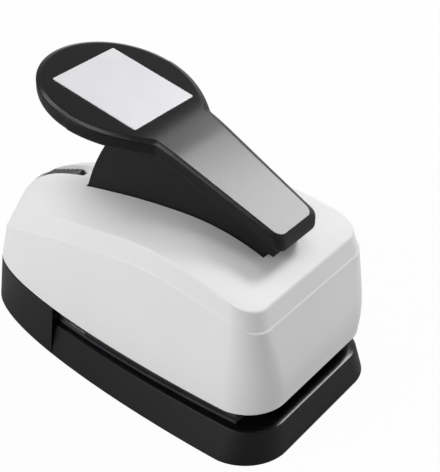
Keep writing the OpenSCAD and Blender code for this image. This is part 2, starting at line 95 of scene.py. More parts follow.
PLATE_XB = HALF_L - 12
SEAT_GAP = 0.4
REAR_WALL = 4.4
REAR_ROOF = 3.2
WINDOW_IN = 10.5
DIE_X = 24.0
DIE_T = 7.0
SLOT_H = 1.6
GUIDE_T = 12.0
CUT = 38.0
WIRE_R = 0.45
COIL_R = 2.5
COILS = 6.5
SPRING_DX = 7.5
PIVOT_X = 48.0
PIVOT_Z = 46.0
PAD_R = 28.2
PAD_X = -10.1
PAD_Z = 103.6
PAD_TILT = math.radians(15)
BEND_X0 = 8.0
BEND_X1 = 26.0
ARM_X = 63.5
ARM_W = 11.6
ARM_GROW = 0.09
ARM_END_Z = 72.8
TOP_T = 5.4
BODY_HW = 9.2
REAR_R = 69.6
LEVER_WALL = 2.6
BLOCK_GAP = 0.2
BLOCK_Z = PIVOT_Z + 11
BLOCK_FRONT = PIVOT_X + 7.4
PIVOT_HUB_R = 6.4
PIN_BORE_R = 3.05
REAR_X = PIVOT_X - REAR_R
ROLL_ARM = 24.0
LEVER_TURN = math.radians(15)
ROLL_LIFT = LEVER_TURN / 2
ROLL_HUB_R = 3.7
ROLL_BORE_R = 2.02
WAIST_BLEND = 14.0
LABEL = (36.0, 32.0, 0.5)
LABEL_FWD = 2.1
LOCK_BACK = 16.9
LOCK_X = REAR_X - LOCK_BACK
LOCK_DEPTH = 4.0
LOCK_TILT = math.radians(17)
BUTTON_HL = 8.8
LOCK_TRAVEL = 5.8
LOCK_END = BUTTON_HL + LOCK_TRAVEL + 0.4
NOTCH_HW = 4.6
BUTTON_HW = 3.3
STEM_HL = 3.5
STEM_HW = 1.6
RIB_X = (-5.6, -3.4, -1.2, 1.0, 3.2, 5.4)

# Insets of the cover's shoulder lines at its rear, sides and front
LOWER_IN = (4.0, 0.8, 3.1)
STEP_IN = (4.4, 1.25, 3.55)
UPPER_IN = (CROWN_IN, 2.6, 5.2)

# Gaps between the lever and its opening in the cover
OPEN_REAR = 0.45
OPEN_SIDE = 0.5
OPEN_FRONT = 0.4

# Start and run of the cover's height changes along its length, the run negative towards the rear
FRONT_RAMP = (35, 30)
REAR_RAMP = (30, -40)
TIP_RAMP = (-20, -35)

# Screws: radius of the shank, radius and height of the head, whole length, pitch
BASE_SCREW = (1.5, 2.8, 1.9, 10.05, 0.7)
REAR_SCREW = (1.6, 3.1, 2.2, 30.65, 0.8)
FRONT_SCREW = (1.6, 3.1, 2.2, 21.05, 0.8)
FRAME_BOLT = (2.0, 3.5, 3.6, 23.7, 0.7)
CARRIER_SCREW = (1.9, 3.2, 2.2, 14.2, 0.7)
LEVER_SCREW = (1.4, 2.6, 1.8, 7.75, 0.6)
LOCK_SCREW = (1.0, 2.0, 1.2, 6.88, 0.45)

# Places of the screw heads, from the floor or from the faces they hold
BASE_HEAD_Z = 1.45
REAR_HEAD_Z = 2.35
FRONT_HEAD_UP = 0.35
BOLT_HEAD_UP = 3.62
CARRIER_HEAD_DOWN = 0.35
LEVER_HEAD_DOWN = 1.95
LOCK_HEAD_DOWN = 5.88

# Camera fitted to the photograph, in metres
AZIMUTH = math.radians(35)
ELEVATION = math.radians(31)
CAMERA_AT = (0.24875, -0.31139, 0.28689)
SENSOR = 36
FOCAL_PIXELS = 1300
PICTURE_PIXELS = 472

# Fill light of the studio, and what is left of it towards the room behind the camera
FILL = 0.43
FILL_DARK = 0.04

# Softboxes: direction from the object, distance, width and height in metres, watts, line of the width
SOFTBOXES = {
    "key": ((0.24, 0.69, 0.68), 0.9, 0.25, 0.25, 3.8),
    "key_edge": ((0.0, 0.72, 0.69), 0.9, 0.20, 0.26, 0.6),
    "overhead": ((-0.13, 0.16, 0.98), 0.9, 0.9, 0.06, 1.3, (1, -0.1, 0)),
    "near_left": ((-0.35, -0.86, 0.42), 1.0, 0.6, 0.3, 5.9),
    "right": ((0.92, 0.32, 0.22), 1.0, 0.5, 0.4, 1.35),
}

# Floor: shade, share of its glow to the camera, and share of it in reflections
FLOOR_SHADE = 0.52
FLOOR_GLOW = 0.97
FLOOR_MIRROR = 0.1

# Noise levels that most of a pattern lies between
NOISE_LOW = 0.3
NOISE_HIGH = 0.7


# Shader and geometry node helpers

def math_node(tree, operation, *values):
    """Math on sockets and plain numbers."""
    step = tree.nodes.new("ShaderNodeMath")
    step.operation = operation
    for place, value in zip(step.inputs, values):
        if isinstance(value, (int, float)):
            place.default_value = value
        else:
            tree.links.new(value, place)
    return step.outputs["Value"]


def remap(tree, value, limits, kind="LINEAR"):
    """Value taken from the first two limits to the last two."""
    ramp = tree.nodes.new("ShaderNodeMapRange")
    ramp.interpolation_type = kind
    for label, level in zip(("From Min", "From Max", "To Min", "To Max"), limits):
        ramp.inputs[label].default_value = level
    tree.links.new(value, ramp.inputs["Value"])
    return ramp.outputs["Result"]


def straight_ray(tree, rays):
    """Rays that come to the camera directly or through clear pieces."""
    return math_node(tree, "MAXIMUM", rays["Is Camera Ray"], rays["Is Transmission Ray"])


# Camera and light

def add_camera():
    """Camera at the photograph's angle: 35 degrees round, 31 degrees up."""
    right = Vector((math.cos(AZIMUTH), math.sin(AZIMUTH), 0))
    level = Vector((-math.sin(AZIMUTH), math.cos(AZIMUTH), 0))
    ahead = level * math.cos(ELEVATION) - Vector((0, 0, math.sin(ELEVATION)))
    above = right.cross(ahead)
    data = bpy.data.cameras.new("photo_camera")
    data.lens = SENSOR * FOCAL_PIXELS / PICTURE_PIXELS
    data.sensor_width = SENSOR
    data.clip_start = 0.01
    cam = bpy.data.objects.new("photo_camera", data)
    turn = Matrix((right, above, -ahead)).transposed().to_4x4()
    cam.matrix_world = Matrix.Translation(CAMERA_AT) @ turn
    bpy.context.scene.collection.objects.link(cam)
    bpy.context.scene.camera = cam


def add_softbox(name, direction, distance, width, height, watts, along=None):
    """Rectangular lamp that looks at the object from a direction, with its width level or along a line."""
    aim = Vector(direction).normalized()
    side = Vector((0, 0, 1)).cross(aim) if along is None else Vector(along)
    side = (side - side.dot(aim) * aim).normalized()
    data = bpy.data.lights.new(name, "AREA")
    data.shape = "RECTANGLE"
    data.size = width
    data.size_y = height
    data.energy = watts
    lamp = bpy.data.objects.new(name, data)
    lamp.location = Vector((0, 0, 0.05)) + aim * distance
    lamp.rotation_euler = Matrix((side, aim.cross(side), aim)).transposed().to_euler()
    bpy.context.scene.collection.objects.link(lamp)


def add_world():
    """White backdrop behind the object, level fill light, and a darker room behind the camera."""
    world = bpy.data.worlds.new("studio")
    bpy.context.scene.world = world
    world.use_nodes = True
    tree = world.node_tree
    tree.nodes.clear()
    out = tree.nodes.new("ShaderNodeOutputWorld")
    path = tree.nodes.new("ShaderNodeLightPath")
    fill = tree.nodes.new("ShaderNodeBackground")
    seen = tree.nodes.new("ShaderNodeBackground")
    mix = tree.nodes.new("ShaderNodeMixShader")
    coords = tree.nodes.new("ShaderNodeTexCoord")
    link = tree.links.new

    def towards(direction, *limits):
        """Level that changes smoothly with the angle to a direction."""
        dot = tree.nodes.new("ShaderNodeVectorMath")
        dot.operation = "DOT_PRODUCT"
        dot.inputs[1].default_value = Vector(direction).normalized()
        link(coords.outputs["Generated"], dot.inputs[0])
        return remap(tree, dot.outputs["Value"], limits, "SMOOTHSTEP")

    fill.inputs["Color"].default_value = (1, 1, 1, 1)
    seen.inputs["Color"].default_value = (1, 1, 1, 1)
    seen.inputs["Strength"].default_value = 1.0
    link(towards((0.80, -0.60, 0.05), 0.35, 0.95, FILL, FILL_DARK), fill.inputs["Strength"])
    backdrop = towards((-0.57, 0.82, 0.0), -0.2, 0.5, 0, 1)
    behind = math_node(tree, "MULTIPLY", backdrop, towards((0, 0, 1), 0.2, 0.6, 1, 0))
    straight = straight_ray(tree, path.outputs)
    mirrored = math_node(tree, "MULTIPLY", path.outputs["Is Glossy Ray"], behind)
    link(math_node(tree, "MAXIMUM", straight, mirrored), mix.inputs["Fac"])
    link(fill.outputs["Background"], mix.inputs[1])
    link(seen.outputs["Background"], mix.inputs[2])
    link(mix.outputs["Shader"], out.inputs["Surface"])


def add_floor():
    """Pale floor that stays white to the camera but keeps the object's shadow."""
    half = 2.5
    low = -0.0002
    mesh = bpy.data.meshes.new("floor")
    corners = [(-half, -half, low), (half, -half, low), (half, half, low), (-half, half, low)]
    mesh.from_pydata(corners, [], [(0, 1, 2, 3)])
    floor = bpy.data.objects.new("floor", mesh)
    bpy.context.scene.collection.objects.link(floor)
    mat = bpy.data.materials.new("pale_floor")
    mat.use_nodes = True
    tree = mat.node_tree
    tree.nodes.clear()
    out = tree.nodes.new("ShaderNodeOutputMaterial")
    glow = tree.nodes.new("ShaderNodeEmission")
    matt = tree.nodes.new("ShaderNodeBsdfDiffuse")
    mix = tree.nodes.new("ShaderNodeMixShader")
    path = tree.nodes.new("ShaderNodeLightPath")
    matt.inputs["Color"].default_value = (FLOOR_SHADE, FLOOR_SHADE, FLOOR_SHADE, 1)
    glow.inputs["Strength"].default_value = 1.0
    link = tree.links.new
    straight = straight_ray(tree, path.outputs)
    seen = math_node(tree, "MULTIPLY", straight, FLOOR_GLOW)
    share = math_node(tree, "MULTIPLY_ADD", path.outputs["Is Glossy Ray"], FLOOR_MIRROR, seen)
    link(share, mix.inputs["Fac"])
    link(matt.outputs["BSDF"], mix.inputs[1])
    link(glow.outputs["Emission"], mix.inputs[2])
    link(mix.outputs["Shader"], out.inputs["Surface"])
    mesh.materials.append(mat)


# Finishes

def new_finish(name):
    """Empty Principled material with its object coordinates."""
    mat = bpy.data.materials.new(name)
    mat.use_nodes = True
    tree = mat.node_tree
    shader = tree.nodes["Principled BSDF"]
    coords = tree.nodes.new("ShaderNodeTexCoord")
    return mat, tree, shader, coords


def add_noise(tree, coords, scale, detail=2.0, stretch=None):
    """Noise on object coordinates, stretched along an axis where asked."""
    noise = tree.nodes.new("ShaderNodeTexNoise")
    noise.inputs["Scale"].default_value = scale
    noise.inputs["Detail"].default_value = detail
    if stretch is None:
        tree.links.new(coords.outputs["Object"], noise.inputs["Vector"])
    else:
        lay = tree.nodes.new("ShaderNodeMapping")
        lay.inputs["Scale"].default_value = stretch
        tree.links.new(coords.outputs["Object"], lay.inputs["Vector"])
        tree.links.new(lay.outputs["Vector"], noise.inputs["Vector"])
    return noise


def vary(tree, noise, low, high):
    """Noise level spread between two values."""
    return remap(tree, noise.outputs["Fac"], (NOISE_LOW, NOISE_HIGH, low, high))


def tint(tree, noise, first, second):
    """Colour that drifts between two near shades."""
    ramp = tree.nodes.new("ShaderNodeValToRGB")
    stops = zip(ramp.color_ramp.elements, (NOISE_LOW, NOISE_HIGH), (first, second))
    for stop, position, shade in stops:
        stop.position = position
        stop.color = (*shade, 1)
    tree.links.new(noise.outputs["Fac"], ramp.inputs["Fac"])
    return ramp.outputs["Color"]


def bump_from(tree, shader, height, strength, depth):
    """Bump of a real depth in metres."""
    bump = tree.nodes.new("ShaderNodeBump")
    bump.inputs["Strength"].default_value = strength
    bump.inputs["Distance"].default_value = depth
    tree.links.new(height, bump.inputs["Height"])
    tree.links.new(bump.outputs["Normal"], shader.inputs["Normal"])


def moulded_plastic(name, shades, rough, specular, grain, walls=0.0):
    """Satin moulded plastic: faint flow marks, fine grain, and a rougher mould texture on upright walls."""
    mat, tree, shader, coords = new_finish(name)
    link = tree.links.new
    link(tint(tree, add_noise(tree, coords, 30), *shades), shader.inputs["Base Color"])
    split = tree.nodes.new("ShaderNodeSeparateXYZ")
    link(coords.outputs["Normal"], split.inputs["Vector"])
    steep = remap(tree, split.outputs["Z"], (0.5, 0.85, walls, 0.0), "SMOOTHSTEP")
    grade = vary(tree, add_noise(tree, coords, 1200, 3), *rough)
    link(math_node(tree, "ADD", grade, steep), shader.inputs["Roughness"])
    bump_from(tree, shader, add_noise(tree, coords, 3200, 2).outputs["Fac"], *grain)
    shader.inputs["Specular IOR Level"].default_value = specular
    return mat


def brushed_metal(name, shades, rough, stretch, depth, metal=1.0):
    """Metal, or a pale metal print, with fine drawn or ground lines along one axis."""
    mat, tree, shader, coords = new_finish(name)
    link = tree.links.new
    lines = add_noise(tree, coords, 900, 3, stretch)
    link(tint(tree, add_noise(tree, coords, 60), *shades), shader.inputs["Base Color"])
    link(vary(tree, lines, *rough), shader.inputs["Roughness"])
    bump_from(tree, shader, lines.outputs["Fac"], 0.25, depth)
    shader.inputs["Metallic"].default_value = metal
    return mat


def coated_metal(name, shades, rough, depth):
    """Black coat on metal with a light orange-peel texture."""
    mat, tree, shader, coords = new_finish(name)
    link = tree.links.new
    link(tint(tree, add_noise(tree, coords, 180, 4), *shades), shader.inputs["Base Color"])
    link(vary(tree, add_noise(tree, coords, 500, 3), *rough), shader.inputs["Roughness"])
    bump_from(tree, shader, add_noise(tree, coords, 1500, 2).outputs["Fac"], 0.3, depth)
    shader.inputs["Specular IOR Level"].default_value = 0.4
    return mat


def make_finishes():
    """One finish for each slot of the record."""
    fine = (1, 12, 12)
    grain = (0.06, 0.00002)
    return {
        "white_plastic": moulded_plastic("white_plastic", ((0.765, 0.765, 0.76), (0.79, 0.79, 0.785)),
                                         (0.42, 0.47), 0.25, grain),
        "black_plastic": moulded_plastic("black_plastic", ((0.003, 0.003, 0.0038), (0.0042, 0.0042, 0.005)),
                                         (0.185, 0.205), 0.26, grain, 0.33),
        "label_foil": brushed_metal("label_foil", ((0.67, 0.67, 0.705), (0.71, 0.71, 0.72)),
                                    (0.42, 0.5), fine, 0.00001, 0.3),
        "dark_casting": coated_metal("dark_casting", ((0.022, 0.022, 0.024), (0.034, 0.034, 0.036)),
                                     (0.45, 0.6), 0.00008),
        "dark_steel": coated_metal("dark_steel", ((0.035, 0.036, 0.039), (0.055, 0.056, 0.06)),
                                   (0.35, 0.5), 0.00003),
        "ground_steel": brushed_metal("ground_steel", ((0.56, 0.57, 0.59), (0.63, 0.64, 0.66)),
                                      (0.2, 0.36), fine, 0.00001),
        "bright_steel": brushed_metal("bright_steel", ((0.52, 0.53, 0.55), (0.62, 0.62, 0.62)),
                                      (0.25, 0.4), (1, 1, 1), 0.00001),
    }


# Mesh helpers, in millimetres

def smooth(t):
    t = np.clip(t, 0, 1)
    return t * t * (3 - 2 * t)


def to_object(name, points, faces, merge=1e-4):
    """Closed mesh object from millimetre points, doubles merged and faces turned outwards."""
    bm = bmesh.new()
    verts = [bm.verts.new(Vector(p) * MM) for p in points]
    for face in faces:
        ring = [verts[i] for i in face]
        if len(set(ring)) >= 3:
            bm.faces.new(ring)
    bmesh.ops.remove_doubles(bm, verts=bm.verts[:], dist=merge * MM)
    bmesh.ops.dissolve_degenerate(bm, edges=bm.edges[:], dist=merge * MM)
    bmesh.ops.recalc_face_normals(bm, faces=bm.faces[:])
    mesh = bpy.data.meshes.new(name)
    bm.to_mesh(mesh)
    bm.free()
    obj = bpy.data.objects.new(name, mesh)
    bpy.context.scene.collection.objects.link(obj)
    return obj


def ring_faces(rows, count):
    """Quads between successive closed rings of the same count."""
    return [(r * count + j, r * count + (j + 1) % count,
             (r + 1) * count + (j + 1) % count, (r + 1) * count + j)
            for r in range(rows - 1) for j in range(count)]


def loft(name, rings):
    """Closed skin over rings, whose first and last ring shrink to a point."""
    stack = np.array(rings)
    rows, count = stack.shape[:2]
    return to_object(name, stack.reshape(-1, 3), ring_faces(rows, count))


def prism(name, outline, low, high):
    """Upright prism over a plan outline."""
    count = len(outline)
    points = [(x, y, z) for z in (low, high) for x, y in outline]
    faces = ring_faces(2, count) + [tuple(range(count))[::-1], tuple(range(count, 2 * count))]
    return to_object(name, points, faces)


def side_prism(name, outline, half):
    """Prism across the width over a side outline of x and z."""
    count = len(outline)
    points = [(x, y, z) for y in (-half, half) for x, z in outline]
    faces = ring_faces(2, count) + [tuple(range(count)), tuple(range(count, 2 * count))[::-1]]
    return to_object(name, points, faces)


def block(name, low, high):
    """Rectangular solid between two corners."""
    plan = [(low[0], low[1]), (high[0], low[1]), (high[0], high[1]), (low[0], high[1])]
    return prism(name, plan, low[2], high[2])


def circle(radius, at):
    turns = [2 * math.pi * i / 48 for i in range(48)]
    return [(at[0] + radius * math.cos(a), at[1] + radius * math.sin(a)) for a in turns]


def drum(name, radius, low, high, at=(0, 0)):
    """Upright cylinder."""
    return prism(name, circle(radius, at), low, high)


def cross_drum(name, radius, half, at):
    """Cylinder across the width."""
    return side_prism(name, circle(radius, at), half)


def bake(obj):
    """Apply an object's modifiers to its mesh."""
    graph = bpy.context.evaluated_depsgraph_get()
    mesh = bpy.data.meshes.new_from_object(obj.evaluated_get(graph), depsgraph=graph)
    mesh.validate(clean_customdata=False)
    obj.modifiers.clear()
    old = obj.data
    obj.data = mesh
    bpy.data.meshes.remove(old)
    return obj


def combine(obj, other, how):
    """Boolean of two solids, the second one is used up."""
    change = obj.modifiers.new("combine", "BOOLEAN")
    change.operation = how
    change.solver = "EXACT"
    change.object = other
    bake(obj)
    old = other.data
    bpy.data.objects.remove(other)
    bpy.data.meshes.remove(old)
    return obj


def cut(obj, other):
    return combine(obj, other, "DIFFERENCE")


def add(obj, other):
    return combine(obj, other, "UNION")


def round_edges(obj, width, segments, angle):
    """Small rounding of the edges sharper than an angle."""
    edge = obj.modifiers.new("edge", "BEVEL")
    edge.width = width * MM
    edge.segments = segments
    edge.limit_method = "ANGLE"
    edge.angle_limit = math.radians(angle)
    return bake(obj)


def soften(obj, angle=32):
    """Smooth shading that keeps real edges."""
    obj.data.polygons.foreach_set("use_smooth", [True] * len(obj.data.polygons))
    obj.data.set_sharp_from_angle(angle=math.radians(angle))
    weigh = obj.modifiers.new("weigh", "WEIGHTED_NORMAL")
    weigh.weight = 100
    weigh.keep_sharp = True
    return bake(obj)


def move_mesh(obj, matrix):
    obj.data.transform(matrix)
    return obj


def dress(obj, slot, body, *replaced):
    """Place in the part's frame, finish, body and CAD nodes of a piece."""
    move_mesh(obj, Matrix.Translation((-SET_BACK * MM, 0, 0)))
    obj.data.materials.clear()
    obj.data.materials.append(finishes[slot])
    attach(obj, body)
    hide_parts(*replaced)
    return obj


# Plan and height lines

def half_width(x, rear, front, width):
    t = np.clip((x - rear) / (front - rear), 0, 1)
    return width * np.sqrt(np.clip(1 - (1 - t) ** TAPER, 0, 1))


def outline(rear, front, width, corner):
    """Bullet plan, tip first, along the near side, across the front and back along the far side."""
    tip = rear + (STEP_X - rear) * np.linspace(0, 1, 61) ** 1.8
    flank = np.linspace(STEP_X, front - corner, 46)[1:]
    x = np.concatenate([tip, flank])
    y = half_width(x, rear, front, width)
    turn = np.radians(np.linspace(90, 0, 19)[1:])
    x = np.concatenate([x, front - corner + corner * np.cos(turn)])
    y = np.concatenate([y, y[-1] - corner + corner * np.sin(turn)])
    across = np.linspace(y[-1], 0, 13)[1:]
    x = np.concatenate([x, np.full(12, front)])
    y = np.concatenate([y, across])
    return np.concatenate([x, x[-2:0:-1]]), np.concatenate([-y, y[-2:0:-1]])


def ring_at(plan, z):
    x, y = plan
    return np.stack([x, y, np.broadcast_to(z, x.shape)], axis=1)


def bend(before, corner, after, reach, steps):
    """Rings that round a profile corner."""
    def toward(other):
        way = other - corner
        size = np.linalg.norm(way, axis=1, keepdims=True)
        return corner + way / np.maximum(size, 1e-9) * np.minimum(reach, 0.46 * size)
    a = toward(before)
    b = toward(after)
    return [(1 - s) ** 2 * a + 2 * s * (1 - s) * corner + s * s * b for s in np.linspace(0, 1, steps)]


def ramp(x, start, run):
    """Smooth step along the length."""
    return smooth((x - start) / run)


def crown(x):
    return CROWN_DROP + CROWN_REAR * ramp(x, *REAR_RAMP) + CROWN_FRONT * ramp(x, *FRONT_RAMP)


def top_z(x):
    return PEAK_Z - np.where(x > PEAK_X, FALL_FRONT, FALL_REAR) * (x - PEAK_X) ** 2


def edge_z(x):
    return PEAK_Z - np.where(x > PEAK_X, FALL_FRONT, FALL_EDGE) * (x - PEAK_X) ** 2 - crown(x)


def cover_z(x):
    """Height of the cover on its centre line, behind the middle."""
    k = (MID_X - x) / (MID_X + HALF_L - COVER_IN - CROWN_IN)
    return top_z(x) - (top_z(x) - edge_z(x)) * k ** CROWN_POW


LOCK_Z = float(cover_z(LOCK_X)) - LOCK_DEPTH
LOCK_PLACE = Matrix.Translation(Vector((LOCK_X, 0, LOCK_Z)) * MM) @ Matrix.Rotation(-LOCK_TILT, 4, "Y")


# Cover

def band_z(x):
    return edge_z(x) - BAND_H + BAND_LIFT * ramp(x, *FRONT_RAMP)


def cover_corner(t):
    return CORNER - COVER_IN - 0.6 * t


def shoulder_plan(t, insets):
    """Plan of a shoulder line, t inside the cover's outer face."""
    rear, side, front = insets
    d = COVER_IN + t
    corner = cover_corner(t) - 5 - 0.3 * side
    return outline(-HALF_L + d + rear, FRONT_X - t - front, HALF_W - d - side, corner)


def cover_lines(t):
    """Foot, belly, shoulder step and upper shoulder rings of the cover, t inside its outer face."""
    d = COVER_IN + t
    front = FRONT_X - t
    foot = ring_at(outline(-HALF_L + d, front, HALF_W - d, cover_corner(t)), SEAM_Z)
    plan = outline(-HALF_L + d + BELLY_BACK, front + BELLY_OUT, HALF_W - d + BELLY_OUT, cover_corner(t))
    belly = ring_at(plan, BELLY_Z)
    plan = shoulder_plan(t, LOWER_IN)
    lower = ring_at(plan, band_z(plan[0]) - 0.3 * t)
    plan = shoulder_plan(t, STEP_IN)
    step = ring_at(plan, band_z(plan[0]) + STEP_H - 0.3 * t)
    plan = shoulder_plan(t, UPPER_IN)
    upper = ring_at(plan, edge_z(plan[0]) - t)
    return foot, belly, lower, step, upper


def cover_top(upper, k, t):
    """Point of the crowned top for each station, k of the way out."""
    x = MID_X + k * (upper[:, 0] - MID_X)
    power = SIDE_POW + (CROWN_POW - SIDE_POW) * ramp(upper[:, 0], *TIP_RAMP)
    z = top_z(x) - (top_z(x) - edge_z(x)) * k ** power - t
    return np.stack([x, k * upper[:, 1], z], axis=1)


def cover_skin(t, foot_from, crease, steps):
    """Rings of one face of the cover from its foot to the middle of the top."""
    foot, belly, lower, step, upper = cover_lines(t)
    rings = bend(foot_from, foot, belly, 0.5, 4) if t == 0 else [foot]
    rings += bend(foot, belly, lower, 9.0, steps + 2)
    rings += bend(belly, lower, step, 0.2, 3)
    rings += bend(lower, step, upper, 0.15, 2)
    out = 1 - crease / np.hypot(upper[:, 0] - MID_X, upper[:, 1])
    rings += bend(step, upper, cover_top(upper, 2 * out - 1, t), crease, steps)
    for s in np.linspace(1, 0, 26)[1:]:
        rings.append(cover_top(upper, out * s, t))
    return rings


def slot_plan(x0, x1, half, corner):
    """Rounded rectangle in plan."""
    points = []
    for cx, cy, start in ((x1 - corner, half - corner, 0), (x0 + corner, half - corner, 90),
                          (x0 + corner, corner - half, 180), (x1 - corner, corner - half, 270)):
        for a in np.radians(np.linspace(start, start + 90, 7)):
            points.append((cx + corner * math.cos(a), cy + corner * math.sin(a)))
    return points


def lock_prism(name, x0, x1, half, corner, low, high):
    """Rounded block in the tilted frame of the lock slider."""
    return move_mesh(prism(name, slot_plan(x0, x1, half, corner), low, high), LOCK_PLACE)


def make_cover():
    """White cover: belly, stepped shoulder, crowned top, lever opening and lock recess."""
    inside = cover_skin(WALL, None, 1.0, 3)
    outside = cover_skin(0, inside[0], 0.65, 6)
    shell = loft("cover_shell", inside[::-1] + outside)
    floor = lock_prism("lock_floor", -12, LOCK_END + 2.2, 7, 1, -1.8, 4)
    core = cover_skin(WALL / 2, None, 1.0, 3)
    centre = core[0] * 0 + (0, 0, SEAM_Z)
    combine(floor, loft("core", [centre] + core), "INTERSECT")
    add(shell, floor)
    back = arc_line(REAR_R + OPEN_REAR, math.radians(176), math.radians(150), 12)
    front = BLOCK_FRONT + OPEN_FRONT
    cut(shell, side_prism("lever_opening", back + [(front, 90), (front, 50)], BODY_HW + OPEN_SIDE))
    cut(shell, lock_prism("lock_recess", -10.5, LOCK_END, 3.9, 0.6, 0, 9))
    cut(shell, lock_prism("lock_slot", -4, 9.9, 1.9, 0.4, -6, 6))
    dress(soften(shell), "white_plastic", "frame", "top_cover")


# Base

def plan_line(inset, x0, x1):
    """Plan of the body, inset from the foot line, between two stations."""
    rear = -HALF_L + inset
    front = HALF_L - inset
    start = max(x0, rear)
    t = np.linspace(0, 1, 60) ** (1.0 if x0 > rear else 1.8)
    x = start + t * (x1 - start)
    y = half_width(x, rear, front, HALF_W - inset)
    near = list(zip(x, -y))
    far = [(a, b) for a, b in zip(x[::-1], y[::-1]) if b > 0.01]
    return near + far


def body_ring(inset, z):
    """Ring of the base above its foot, inset from the foot line."""
    front = FRONT_X - max(0.0, inset - RIDGE_IN)
    return ring_at(outline(-HALF_L + inset, front, HALF_W - inset, CORNER - inset), z)


def foot_ring(inset, z):
    """Ring of the base's foot, which stands a little outside of its walls."""
    plan = outline(-HALF_L + inset, HALF_L + NOSE - inset, HALF_W + FOOT_OUT - inset, CORNER - inset)
    return ring_at(plan, z)


def middle_ring(z):
    ring = body_ring(0, z)
    ring[:, :2] = (0.0, 0.0)
    return ring


def make_base():
    """Black base: foot, crisp ridge, rounded ledge inside it, taller rear block, seats and wells."""
    foot = foot_ring(0, 0)
    under = foot_ring(3, 0)
    ridge_in = RIDGE_IN + 0.1
    ridge_z = DECK_Z - 0.6
    ridge = body_ring(ridge_in, ridge_z)
    rings = [middle_ring(0), under] + bend(under, foot, ridge, 1.0, 5)
    rings.append(foot + 0.97 * (ridge - foot))
    rings += bend(foot, ridge, body_ring(RIDGE_IN + 0.9, DECK_Z - 0.3), 0.25, 4)
    ledge = 3.2
    rise = 0.8
    for s in np.linspace(0.12, 1, 9):
        rings.append(body_ring(ridge_in + ledge * s, ridge_z + rise * (1 - (1 - s) ** 1.6)))
    rings += [body_ring(9, ridge_z + rise), middle_ring(ridge_z + rise)]
    tray = loft("base_shell", rings)
    brow_z = SEAM_Z - 0.2
    brow = body_ring(COVER_IN, brow_z)
    inner = body_ring(7, brow_z)
    low = 0.01
    rings = [middle_ring(low), foot_ring(3, low)] + bend(under, foot_ring(0.02, low), brow, 1.0, 5)
    rings += bend(foot, brow, inner, 0.5, 4) + [inner, middle_ring(brow_z)]
    rear = loft("rear_block", rings)
    cut(rear, block("front_half", (STEP_X, -60, -5), (90, 60, 40)))
    add(tray, rear)
    seat = plan_line(PLATE_IN - SEAT_GAP, PLATE_XA - SEAT_GAP, PLATE_XB + SEAT_GAP)
    cut(tray, prism("plate_seat", seat, SEAT_Z, 36))
    below = -1
    window = plan_line(WINDOW_IN, PLATE_XA + 12, PLATE_XB - 3)
    cut(tray, prism("window", window, below, SEAT_Z + 1))
    hollow = plan_line(REAR_WALL, -HALF_L, PLATE_XA - 4)
    cut(tray, prism("rear_hollow", hollow, below, SEAM_Z - REAR_ROOF))
    for spots, radius, top in ((BASE_SCREWS, 4.5, SEAT_Z), (REAR_SCREWS, 4.0, SEAM_Z - 1.4)):
        for at in spots:
            add(tray, drum("boss", radius, 1, top, at))
    wells = ((BASE_SCREWS, 3.1, 3.4, 1.6, 11), (REAR_SCREWS, 3.3, 4.6, 1.7, 39))
    for spots, well_r, well_top, bore_r, bore_top in wells:
        for at in spots:
            cut(tray, drum("well", well_r, below, well_top, at))
            cut(tray, drum("bore", bore_r, below, bore_top, at))
    dress(soften(tray), "black_plastic", "frame", "base_tray")


def rim_y(x):
    """Half width a little inside of the window's edge, where the base screws stand."""
    edge = HALF_L - WINDOW_IN
    return float(half_width(np.array([x]), -edge, edge, HALF_W - WINDOW_IN)[0]) - 1.6


def both_sides(x, y):
    return [(x, y), (x, -y)]


BASE_SCREWS = both_sides(HALF_L - 27, rim_y(HALF_L - 27)) + both_sides(-6, rim_y(-6))
REAR_SCREWS = both_sides(-HALF_L + 21, 7.5)
FRONT_SCREWS = both_sides(HALF_L - 20, 21)
FRAME_BOLTS = both_sides(PLATE_XA + 25, 15) + both_sides(PLATE_XA + 7, 11)
CARRIER_SCREWS = both_sides(DIE_X, CUT / 2 - 6)
SPRING_Y = CUT / 2 + 4.6
SPRINGS = both_sides(DIE_X - SPRING_DX, SPRING_Y) + both_sides(DIE_X + SPRING_DX, SPRING_Y)


# Lever

BEND_MID = (BEND_X0 + BEND_X1) / 2
SLOPE = (PAD_Z - math.tan(PAD_TILT) * (BEND_MID - PAD_X) - ARM_END_Z) / (ARM_X - BEND_MID)
LEVER_SCREW_X = (4, 40)


def lever_z(x):
    """Top line of the lever: sloping pad, soft bend, steeper arm."""
    x = np.asarray(x, float)
    pad = PAD_Z - math.tan(PAD_TILT) * (x - PAD_X)
    bent = pad - (SLOPE - math.tan(PAD_TILT)) * (x - BEND_X0) ** 2 / (2 * (BEND_X1 - BEND_X0))
    arm = ARM_END_Z + SLOPE * (ARM_X - x)
    return np.where(x < BEND_X0, pad, np.where(x > BEND_X1, arm, bent))


def lever_half(x, d):
    """Half width of the lever top, d inside its edge: pad, waist and arm in one line."""
    q = (x - PAD_X) / math.cos(PAD_TILT)
    r = PAD_R - d
    disc = np.sqrt(np.clip(r * r - q * q, 0, None))
    arm = ARM_W + ARM_GROW * (ARM_X - x) - d
    soft = np.clip(WAIST_BLEND - np.abs(disc - arm), 0, None) / WAIST_BLEND
    return np.maximum(disc, arm) + soft ** 2 * WAIST_BLEND / 4


